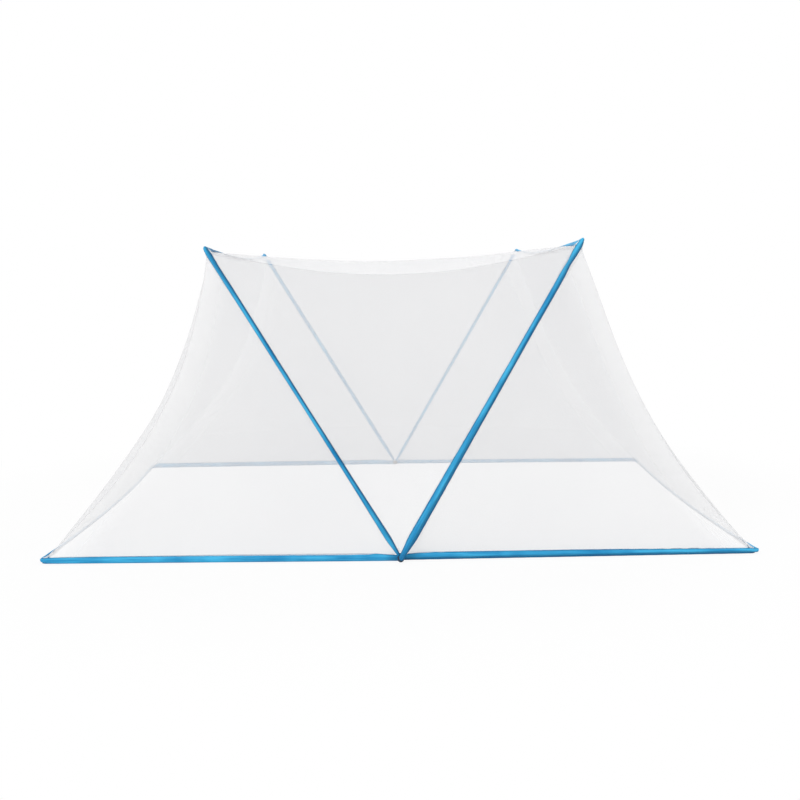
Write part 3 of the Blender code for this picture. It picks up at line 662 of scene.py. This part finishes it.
def blue_tape_finish():
    """Satin woven tape: a fine rib across it, painted shade on one side, at its edges and by the front hub,
    streaks along it and two rows of stitches.
    """
    finish, tree, shader = new_finish("blue_tape")
    reading = read_map(tree, "tape")
    split = tree.nodes.new("ShaderNodeSeparateXYZ")
    tree.links.new(reading, split.inputs[0])
    along, across = split.outputs[0], split.outputs[1]
    from_wire = add_math(tree, "ABSOLUTE", across)

    # Streaks and a cloud of lighter and darker blue.
    stretched = add_vector_math(tree, "MULTIPLY", reading, STREAK_SCALE)
    streak = add_noise(tree, stretched, 1.0, STREAK_DETAIL)["Fac"]
    cloud = add_noise(tree, object_place(tree), CLOUD_SCALE)["Fac"]
    cloud = add_math(tree, "MULTIPLY", cloud, 1.0 - STREAK_SHARE)
    shade = add_math(tree, "MULTIPLY_ADD", streak, STREAK_SHARE, cloud)
    colour = add_mix(tree, add_range(tree, shade, BLUE_SPREAD), DEEP_BLUE, LIGHT_BLUE)

    # Then the painted shade: deeper on side -1, darker at both edges, and darker at the end on the front
    # hub.
    shaded_side = add_range(tree, across, SHADED_SIDE_SPAN, (0.0, SHADED_SIDE_SHARE))
    shaded_side_length = add_range(tree, along, SHADED_SIDE_END)
    edges = add_range(tree, from_wire, EDGE_SHADE_BAND, (0.0, EDGE_SHADE_SHARE))
    hub_shade = add_range(tree, along, HUB_SHADE_END, (0.0, HUB_SHADE_SHARE))
    for share, blue in ((add_math(tree, "MULTIPLY", shaded_side, shaded_side_length), SHADED_SIDE_BLUE),
                        (edges, EDGE_SHADE_BLUE), (hub_shade, HUB_SHADE_BLUE)):
        colour = add_mix(tree, share, colour, blue)

    # Two rows of stitches.
    to_row = add_math(tree, "ABSOLUTE", add_math(tree, "SUBTRACT", from_wire, STITCH_ROW))
    beat = add_math(tree, "FRACT", add_math(tree, "MULTIPLY", along, 1.0 / STITCH_PITCH))
    stitch = add_math(tree, "MULTIPLY", add_math(tree, "LESS_THAN", to_row, STITCH_HALF_WIDTH),
                      add_math(tree, "LESS_THAN", beat, STITCH_SHARE))

    # The rib of the weave, and each stitch sunk in its row.
    slanted = add_math(tree, "MULTIPLY_ADD", across, RIB_SLANT, along)
    rib = add_math(tree, "SINE", add_math(tree, "MULTIPLY", slanted, math.tau / RIB_PITCH))
    twill = add_math(tree, "SINE", add_math(tree, "MULTIPLY", across, math.tau / TWILL_PITCH))
    weave = add_math(tree, "MULTIPLY", add_math(tree, "ADD", rib, twill), WEAVE_RISE)
    groove = add_math(tree, "LESS_THAN", to_row, GROOVE_HALF_WIDTH)
    height = add_math(tree, "MULTIPLY_ADD", groove, -GROOVE_DEPTH, weave)
    height = add_math(tree, "MULTIPLY_ADD", stitch, STITCH_RISE, height)
    feed_all(tree, shader, {"Base Color": add_mix(tree, stitch, colour, THREAD_BLUE),
                            "Roughness": add_range(tree, streak, (0.0, 1.0), TAPE_ROUGHNESS),
                            "Specular IOR Level": TAPE_SPECULAR,
                            "Normal": add_bump(tree, height, *TAPE_BUMP)})
    return finish


blue_tape = blue_tape_finish()
for name in FRAMES:
    tape = new_piece(f"{name}_tape", tape_mesh(name), blue_tape)
    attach(tape, name)
    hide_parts(*[f"{name}_{part}_sheath" for part in SHEATHS])


# The hubs. At each end of the hinge line four knuckles moulded in dark nylon, one on each wire's end,
# turn on a steel rivet with a washer. The end of the outermost tape is carried on over the rivet's head.
OUTERMOST = {"front": "right_arch", "rear": "right_base"}  # the frame on top of each hub's stack
NYLON_DARK = (0.003, 0.030, 0.070, 1.0)
NYLON_LIGHT = (0.006, 0.055, 0.120, 1.0)
NYLON_CLOUD_SCALE = 120.0
NYLON_GRAIN_SCALE = 1400.0
NYLON_GRAIN_DETAIL = 3.0
NYLON_ROUGHNESS = (0.38, 0.55)
NYLON_BUMP = (0.3, 0.0001)  # strength and distance
RIVET_COLOUR = (0.060, 0.085, 0.120, 1.0)
RIVET_ROUGHNESS = 0.34
RIVET_GRAIN_SCALE = 1500.0
KNUCKLE_REACH = 0.0090  # from the rivet's axis to the knuckle's rim
KNUCKLE_HALF_THICKNESS = 0.00435
KNUCKLE_MARGIN = 0.0006  # past the rim, before the flap comes down to the tape
KNUCKLE_SLOPE = 0.006  # and the way that it takes for that
RIVET_HEAD_REACH = 0.0067
RIVET_HEAD_TOP = 0.00705  # over the wire that the rivet's head is nearest to
RIVET_HEAD_SLOPE = 0.004  # from the head's rim, the way in which the flap comes down to the knuckle
FLAP_START = 0.040  # from the hinge line, along the leg
FLAP_END = -0.0020
FLAP_HALF_WIDTH = 0.0068
FLAP_TIP_SHARE = 0.03  # the round end stops short of a point
FLAP_THICKNESS = 0.0010
FLAP_SETTLE = 0.0003  # between the flap and what it covers
FLAP_ROWS = 44
FLAP_COLUMNS = 16


def moulded_nylon_finish():
    """Dark blue nylon, satin, with the fine texture of its mould."""
    finish, tree, shader = new_finish("moulded_nylon")
    place = object_place(tree)
    grain = add_noise(tree, place, NYLON_GRAIN_SCALE, NYLON_GRAIN_DETAIL)["Fac"]
    cloud = add_noise(tree, place, NYLON_CLOUD_SCALE)["Fac"]
    feed_all(tree, shader, {"Base Color": add_mix(tree, cloud, NYLON_DARK, NYLON_LIGHT),
                            "Roughness": add_range(tree, grain, (0.0, 1.0), NYLON_ROUGHNESS),
                            "Normal": add_bump(tree, grain, *NYLON_BUMP)})
    return finish


def flap_half_width(distance):
    """Half the flap's width, this far along the leg: straight, then a round end."""
    into_end = (FLAP_END + FLAP_HALF_WIDTH - distance) / FLAP_HALF_WIDTH
    return FLAP_HALF_WIDTH * math.sqrt(max(1.0 - max(into_end, 0.0) ** 2, FLAP_TIP_SHARE))


def flap_height(distance, across):
    """How far over the leg's wire the middle of the flap's thickness lies."""
    reach = math.hypot(distance, across)
    on_knuckle = 1.0 - smoothstep((reach - KNUCKLE_REACH - KNUCKLE_MARGIN) / KNUCKLE_SLOPE)
    off_head = smoothstep((reach - RIVET_HEAD_REACH) / RIVET_HEAD_SLOPE)
    head = RIVET_HEAD_TOP - (RIVET_HEAD_TOP - KNUCKLE_HALF_THICKNESS) * off_head
    covered = max(skin_height(LEG_BULGE, across), head * on_knuckle)
    return covered + FLAP_SETTLE + FLAP_THICKNESS / 2


def add_flap(end, name):
    """The end of the outermost tape at one hub, from where it leaves the leg to past the rivet."""
    side = -1.0 if end == "front" else 1.0
    hub = Vector((0.0, side * HUB_SIDE, 0.0))
    along = (Vector((REACH, side * HALF_WIDTH, 0.0)) - hub).normalized()
    outward = Vector((-along.y, along.x, 0.0)) * side
    bm = bmesh.new()
    tape_map = bm.loops.layers.uv.new("tape")
    across = bm.verts.layers.float.new("across")
    distance = bm.verts.layers.float.new("distance")
    bmesh.ops.create_grid(bm, x_segments=FLAP_COLUMNS, y_segments=FLAP_ROWS, size=0.5)
    for vert in bm.verts:
        vert[distance] = FLAP_END + (FLAP_START - FLAP_END) * (vert.co.y + 0.5)
        vert[across] = 2.0 * vert.co.x * flap_half_width(vert[distance])
        height = flap_height(vert[distance], vert[across])
        place = hub + along * vert[distance] + outward * height
        place.z = vert[across]
        vert.co = MATRICES[name] @ place
    for face in bm.faces:
        for loop in face.loops:
            loop[tape_map].uv = (loop.vert[distance], loop.vert[across])
    bmesh.ops.recalc_face_normals(bm, faces=bm.faces)
    mesh = finished_mesh(bm, f"{end}_hub_tape_end")
    mesh.shade_smooth()
    flap = new_piece(f"{end}_hub_tape_end", mesh, blue_tape)
    body = flap.modifiers.new("thickness", "SOLIDIFY")
    body.thickness = FLAP_THICKNESS
    body.offset = 0.0
    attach(flap, name)
    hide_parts(f"{end}_hub_flap")


moulded_nylon = moulded_nylon_finish()
rivet_steel = steel_finish("burnished_rivet_steel", RIVET_COLOUR, RIVET_ROUGHNESS, RIVET_GRAIN_SCALE)
for end, outermost in OUTERMOST.items():
    for name in FRAMES:
        dress(f"{name}_{end}_knuckle", moulded_nylon)
    dress(f"{end}_rivet", rivet_steel)
    dress(f"{end}_washer", rivet_steel)
    add_flap(end, outermost)


# The nets. Three sections of knitted polyester tulle, each sewn from a panel across the tent and two
# side panels, and held stretched between two neighbouring frames, which they draw in.
SECTIONS = {  # frames, how far the seams curve in, and how much more of that is on the first one's side
    "right": ("right_base", "right_arch", 0.075, 0.15),
    "middle": ("right_arch", "left_arch", 0.083, 0.0),
    "left": ("left_arch", "left_base", 0.103, 0.15),
}
HINGE = Vector((0.0, 0.0, HINGE_HEIGHT))
MIDDLE_SAG_SHARE = 0.22  # the middle of a panel hangs in by this much of what its seams do
SEAM_PULL_POWERS = (3.0, 9.0)  # how fast that fades behind a seam, midway between the frames and at them
SLEEVE_LENGTH = 0.024  # the panel across the tent reaches this far down each leg
MOUTH_MARGIN = 0.0006  # past a tape's edge, where the net leaves it
SEATING_GAP = 0.0003  # from the bottom of a tape's pocket to the net's edge
CORNER_REACH_SHARE = 0.22  # the net follows a rounded corner for this much of the way to the next frame
CORNER_DROPS = {  # the seam draws the net in by this much beside each frame's corner
    "right_base": 0.009, "right_arch": 0.023, "left_arch": 0.021, "left_base": 0.015,
}
CORNER_DROP_WIDTH = 0.16  # and by less and less, as far along the crossbar as this
CORNER_DROP_RISE = 0.010  # of the way between two frames, where the net has dropped in
NET_START = 0.010  # from the hinge line to a side panel's narrow end
SEAM_GAP = 0.0009  # from a side panel to the panel across the tent
SECTION_STEPS = 36
SECTION_SHARES = [0.5 - 0.5 * math.cos(math.pi * k / SECTION_STEPS) for k in range(SECTION_STEPS + 1)]
LUMP_HEIGHT = 0.0016  # of the slight waves that the pull of the frames leaves
LUMP_SCALE = Vector((5.0, 3.0, 5.0))
LUMP_MARGIN = 0.2  # from a seam to where they have their full height
SIDE_LUMP_SCALE = 7.0
SIDE_LUMP_PLACES = (3.0, 4.0)  # in the noise, for the front and the rear
SIDE_LUMP_EASE = 5.0
FACED_BY = {"right": ["right_base"], "middle": ["right_arch", "left_arch"], "left": ["left_base"]}
FACING_START = 0.060  # from a corner to where the strip of net inside a crossbar's tape starts
FACING_SHARE = 0.96  # of the tape's width
FACING_GAP = 0.0006  # from the tape to it

# The knit and its whites.
MESH_PITCH = 0.0016
HALF_CELL = (0.5, math.sqrt(3.0) / 2.0, 0.0)  # from a cell's middle to that of its neighbour, in pitches
THREAD_BAND = (0.31, 0.38)  # where a cell's hole ends and its thread starts, from its middle, in pitches
KNIT_SWAY = 0.012  # how far the knit wanders
KNIT_SWAY_SCALE = 22.0
WHITE_PATCH_SCALE = 2.2
WHITE_PATCH_SPREAD = (0.3, 0.7)
SIDE_WHITES = ((0.835, 0.835, 0.847, 1.0), (0.870, 0.870, 0.878, 1.0))  # the dullest and the brightest
# painted light: the panels across the tent are painted whiter than the side panels, for the light that falls
# on them from above
TOP_LIT_WHITES = ((0.925, 0.925, 0.937, 1.0), (0.955, 0.955, 0.963, 1.0))
# partly painted light: the facings are several plies of net, and are also painted whiter than the side
# panels' net, for light that their inner face lacks
FOLDED_LIT_WHITES = ((0.940, 0.940, 0.952, 1.0), (0.965, 0.965, 0.973, 1.0))
ONE_PLY_HAZE = 0.27  # how much of each hole the fibres fill
FOLDED_HAZE = 0.90  # in several plies
# painted light: the white that the end sections' side panels are painted near their seams
SEAM_LIGHT_WHITE = (0.955, 0.955, 0.960, 1.0)
SEAM_LIGHT_REACH = 0.13  # painted light: the side panels of the two end sections are painted whiter this near to their seams
NET_ROUGHNESS = 0.85
NET_SPECULAR = 0.2


def net_edges(name, side, station):
    """Where a net lies in a frame's tape, and where it leaves it."""
    half_width = tape_half_width(name, station, side)
    mouth = half_width + MOUTH_MARGIN
    seated = half_width * (1.0 - POCKET_SHARE) + SEATING_GAP
    return [on_tape(name, station, side * reach, 0.0) for reach in (seated, (seated + mouth) / 2, mouth)]


def square_point(name, y):
    """The frame's crossbar at this depth, as if its corners were square."""
    point = crossbar_point(min(max(y, -HALF_WIDTH), HALF_WIDTH))
    return MATRICES[name] @ Vector((point.x, point.y, 0.0))


def corner_pull(share):
    """How much of a rounded corner's shape the net still follows, part way to the next frame."""
    left = max(0.0, 1.0 - share / CORNER_REACH_SHARE)
    return left * left


def corner_shape(name, place, square, drop_share):
    """How far a net's edge lies from a square corner, and how far the seam draws the net in beside it."""
    towards_hinge = MATRICES[name].to_3x3() @ Vector((-1.0, 0.0, 0.0))
    already = (place - square).dot(towards_hinge)
    return place - square, towards_hinge * max(CORNER_DROPS[name] * drop_share - already, 0.0)


def across_rows(section):
    """Rows of points on the panel across the tent, each from one frame to the next."""
    first, second, sag, skew = SECTIONS[section]
    inward = HINGE - (square_point(first, -HALF_WIDTH) + square_point(second, -HALF_WIDTH)) / 2
    inward.y = 0.0
    inward.normalize()
    rows = []
    for station in [station for station in STATIONS if station.to_corner > -SLEEVE_LENGTH]:
        starts = net_edges(first, 1, station)
        ends = net_edges(second, -1, station)
        plain = [square_point(name, station.point.y) for name in (first, second)]
        edge = min(abs(station.point.y) / HALF_WIDTH, 1.0)
        drop_share = 1.0 - smoothstep((1.0 - edge) * HALF_WIDTH / CORNER_DROP_WIDTH)
        corners = (corner_shape(first, starts[-1], plain[0], drop_share),
                   corner_shape(second, ends[-1], plain[1], drop_share))
        row = list(starts)
        for share in SECTION_SHARES[1:-1]:
            between = 4.0 * share * (1.0 - share)
            power = SEAM_PULL_POWERS[1] + (SEAM_PULL_POWERS[0] - SEAM_PULL_POWERS[1]) * between
            hang = sag * (MIDDLE_SAG_SHARE + (1.0 - MIDDLE_SAG_SHARE) * edge ** power)
            hang *= between * (1.0 + skew * (1.0 - 2.0 * share))
            point = plain[0].lerp(plain[1], share) + inward * hang
            for (offset, dropped), way in zip(corners, (share, 1.0 - share)):
                point += (offset + dropped * smoothstep(way / CORNER_DROP_RISE)) * corner_pull(way)
            lump = noise.noise(point * LUMP_SCALE)
            calm = smoothstep(between) * smoothstep((HALF_WIDTH - abs(point.y)) / LUMP_MARGIN)
            row.append(point + inward * (LUMP_HEIGHT * lump * calm))
        rows.append(row + ends[::-1])
    return rows


def side_rows(section, rear):
    """Rows of points on the panel between two legs, from near the hub out to its curved seam."""
    first, second = SECTIONS[section][:2]
    seam = across_rows(section)[-1 if rear else 0]
    legs = [station for station in STATIONS if station.rear == rear
            and NET_START < distance_to_hub(station) and station.to_corner < -SLEEVE_LENGTH - SEAM_GAP]
    legs.sort(key=distance_to_hub)
    rows = []
    narrow = None
    for number, station in enumerate(legs):
        starts = net_edges(first, 1, station)
        ends = net_edges(second, -1, station)
        narrow = narrow or (starts[-1], ends[-1])
        share = number / (len(legs) - 1)
        row = list(starts)
        for step, between in enumerate(SECTION_SHARES[1:-1], start=len(starts)):
            rim = seam[step]
            outward = Vector((rim.x, 0.0, rim.z - HINGE_HEIGHT)).normalized()
            point = narrow[0].lerp(narrow[1], between).lerp(rim - outward * SEAM_GAP, share)
            lump = noise.noise(Vector((point.x * SIDE_LUMP_SCALE, SIDE_LUMP_PLACES[rear],
                                       point.z * SIDE_LUMP_SCALE)))
            calm = smoothstep(4.0 * between * (1.0 - between))
            calm *= smoothstep(SIDE_LUMP_EASE * share * (1.0 - share))
            row.append(point + Vector((0.0, LUMP_HEIGHT * lump * calm, 0.0)))
        rows.append(row + ends[::-1])
    return rows


def fold_shares(rows):
    """How far each point turns with the second frame when the section folds: by its angle about the
    hinge line, between the places where its row leaves the two tapes."""
    shares = []
    for row in rows:
        turns = [math.atan2(point.z - HINGE_HEIGHT, point.x) for point in row]
        first, last = turns[2], turns[-3]
        shares += [min(max((turn - first) / (last - first), 0.0), 1.0) for turn in turns]
    return shares


def net_mesh(name, rows, readings):
    """A grid drawn out over the rows, with a map in metres for the knit, and each point's number."""
    bm = bmesh.new()
    knit = bm.loops.layers.uv.new("knit")
    order = bm.verts.layers.int.new("order")
    bmesh.ops.create_grid(bm, x_segments=len(rows[0]) - 1, y_segments=len(rows) - 1, size=0.5)
    spots = sorted(bm.verts, key=lambda vert: (round((vert.co.y + 0.5) * (len(rows) - 1)), vert.co.x))
    flat = [point for row in rows for point in row]
    for number, vert in enumerate(spots):
        vert.co = flat[number]
        vert[order] = number
    for face in bm.faces:
        for loop in face.loops:
            loop[knit].uv = readings[loop.vert[order]]
    bmesh.ops.recalc_face_normals(bm, faces=bm.faces)
    numbers = [vert[order] for vert in bm.verts]
    mesh = finished_mesh(bm, name)
    mesh.shade_smooth()
    return mesh, numbers


def tulle_knit_group():
    """White tulle: threads knitted into six-sided cells, with a haze of fibres in each hole."""
    tree, given, made = new_group(
        "tulle_knit", {"Reading": "Vector", "Place": "Vector", "Dull": "Color", "Bright": "Color",
                       "Seam Light": "Float", "Haze": "Float"},
        {"Colour": "Color", "Cover": "Float"})
    sway = add_noise(tree, given["Reading"], KNIT_SWAY_SCALE)["Color"]
    drawn = add_vector_math(tree, "MULTIPLY", sway, (KNIT_SWAY, KNIT_SWAY, 0.0))
    uneven = add_vector_math(tree, "ADD", given["Reading"], drawn)
    scaled = add_vector_math(tree, "MULTIPLY", uneven, (1.0 / MESH_PITCH, 1.0 / MESH_PITCH, 0.0))
    low = tuple(-part for part in HALF_CELL)
    offsets = []
    for shift in ((0.0, 0.0, 0.0), HALF_CELL):
        moved = add_vector_math(tree, "SUBTRACT", scaled, shift)
        offsets.append(add_vector_math(tree, "WRAP", moved, HALF_CELL, low))
    lengths = [add_vector_math(tree, "LENGTH", offset) for offset in offsets]
    nearer = tree.nodes.new("ShaderNodeMix")
    nearer.data_type = "VECTOR"
    tree.links.new(add_math(tree, "LESS_THAN", *lengths), nearer.inputs["Factor"])
    tree.links.new(offsets[1], nearer.inputs[4])
    tree.links.new(offsets[0], nearer.inputs[5])
    folded = add_vector_math(tree, "ABSOLUTE", nearer.outputs[1])
    sloped = add_vector_math(tree, "DOT_PRODUCT", folded, HALF_CELL)
    level = add_vector_math(tree, "DOT_PRODUCT", folded, (1.0, 0.0, 0.0))
    from_middle = add_math(tree, "MAXIMUM", sloped, level)
    patch = add_noise(tree, given["Place"], WHITE_PATCH_SCALE)["Fac"]
    whites = add_mix(tree, add_range(tree, patch, WHITE_PATCH_SPREAD), given["Dull"], given["Bright"])
    # Painted light: the net is painted whiter towards the seams, where the seam attribute is given.
    feed_all(tree, made, {"Colour": add_mix(tree, given["Seam Light"], whites, SEAM_LIGHT_WHITE),
                          "Cover": add_range(tree, from_middle, THREAD_BAND, (given["Haze"], 1.0))})
    return tree


tulle_knit = tulle_knit_group()


def net_finish(name, dull, bright, haze):
    """Knitted tulle between two whites, with this much of each hole filled by its haze of fibres."""
    finish, tree, shader = new_finish(name)
    seam_light = tree.nodes.new("ShaderNodeAttribute")
    seam_light.attribute_name = "seam_light"
    knit = place_group(tree, tulle_knit, {
        "Reading": read_map(tree, "knit"), "Place": object_place(tree), "Dull": dull, "Bright": bright,
        "Seam Light": seam_light.outputs["Fac"], "Haze": haze})
    feed_all(tree, shader, {"Base Color": knit["Colour"], "Alpha": knit["Cover"],
                            "Roughness": NET_ROUGHNESS, "Specular IOR Level": NET_SPECULAR})
    return finish


side_net = net_finish("knitted_net", *SIDE_WHITES, ONE_PLY_HAZE)
top_lit_net = net_finish("top_lit_net", *TOP_LIT_WHITES, ONE_PLY_HAZE)
folded_lit_net = net_finish("folded_lit_net", *FOLDED_LIT_WHITES, FOLDED_HAZE)


def add_net(name, section, rows, readings, finish, seam_light_shares=()):
    """A net panel: its mesh, its finish, its two bodies and its size as cut."""
    mesh, numbers = net_mesh(name, rows, readings)
    if seam_light_shares:
        seam_light = mesh.attributes.new("seam_light", "FLOAT", "POINT")
        seam_light.data.foreach_set("value", [seam_light_shares[number] for number in numbers])
    net = new_piece(name, mesh, finish)
    first, second = SECTIONS[section][:2]
    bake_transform(net, first, second, start=square_point(first, 0.0), end=square_point(second, 0.0))
    shares = fold_shares(rows)
    mesh.attributes["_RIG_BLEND"].data.foreach_set("value", [shares[number] for number in numbers])
    return net


def add_facing(name):
    """The strip of net, several plies thick, that lines the inside of a crossbar's tape."""
    rows = []
    for station in [station for station in STATIONS if station.to_corner > FACING_START]:
        row = []
        for share in SKIN_SHARES:
            across = FACING_SHARE * share * tape_half_width(name, station, 1 if share > 0.0 else -1)
            under = -tape_half_thickness(station, across) - FACING_GAP
            row.append(on_tape(name, station, across, under))
        rows.append(row)
    readings = [(share * TAPE_HALF_WIDTH, row[0].y) for row in rows for share in SKIN_SHARES]
    mesh, _ = net_mesh(f"{name}_facing", rows, readings)
    facing = new_piece(f"{name}_facing", mesh, folded_lit_net)
    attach(facing, name)
    return facing


def add_panel_across(section):
    """The panel across the tent, with the facings that belong to it."""
    rows = across_rows(section)
    middle = rows[len(rows) // 2]
    run = [0.0]
    for before, after in zip(middle, middle[1:]):
        run.append(run[-1] + (after - before).length)
    readings = [(reading, point.y) for row in rows for reading, point in zip(run, row)]
    part = "top" if section == "middle" else "end"
    facings = [add_facing(name) for name in FACED_BY[section]]
    net = add_net(f"{section}_{part}_net_cloth", section, rows, readings, top_lit_net)
    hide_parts(f"{section}_{part}_net")


def add_side_panel(section, rear):
    """The panel between two legs, at the front or at the rear."""
    rows = side_rows(section, rear)
    readings = [(point.x, point.z) for row in rows for point in row]
    end = "rear" if rear else "front"
    seam_light_shares = []
    # Painted light: the end sections' side panels are painted whiter towards their seams.
    if section != "middle":
        for k, row in enumerate(rows):
            to_seam = REACH * (1.0 - k / (len(rows) - 1))
            seam_light_shares += [1.0 - smoothstep(to_seam / SEAM_LIGHT_REACH)] * len(row)
    net = add_net(f"{section}_{end}_net_cloth", section, rows, readings, side_net,
                  seam_light_shares=seam_light_shares)
    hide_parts(f"{section}_{end}_net")


for section in SECTIONS:
    add_panel_across(section)
    add_side_panel(section, rear=False)
    add_side_panel(section, rear=True)
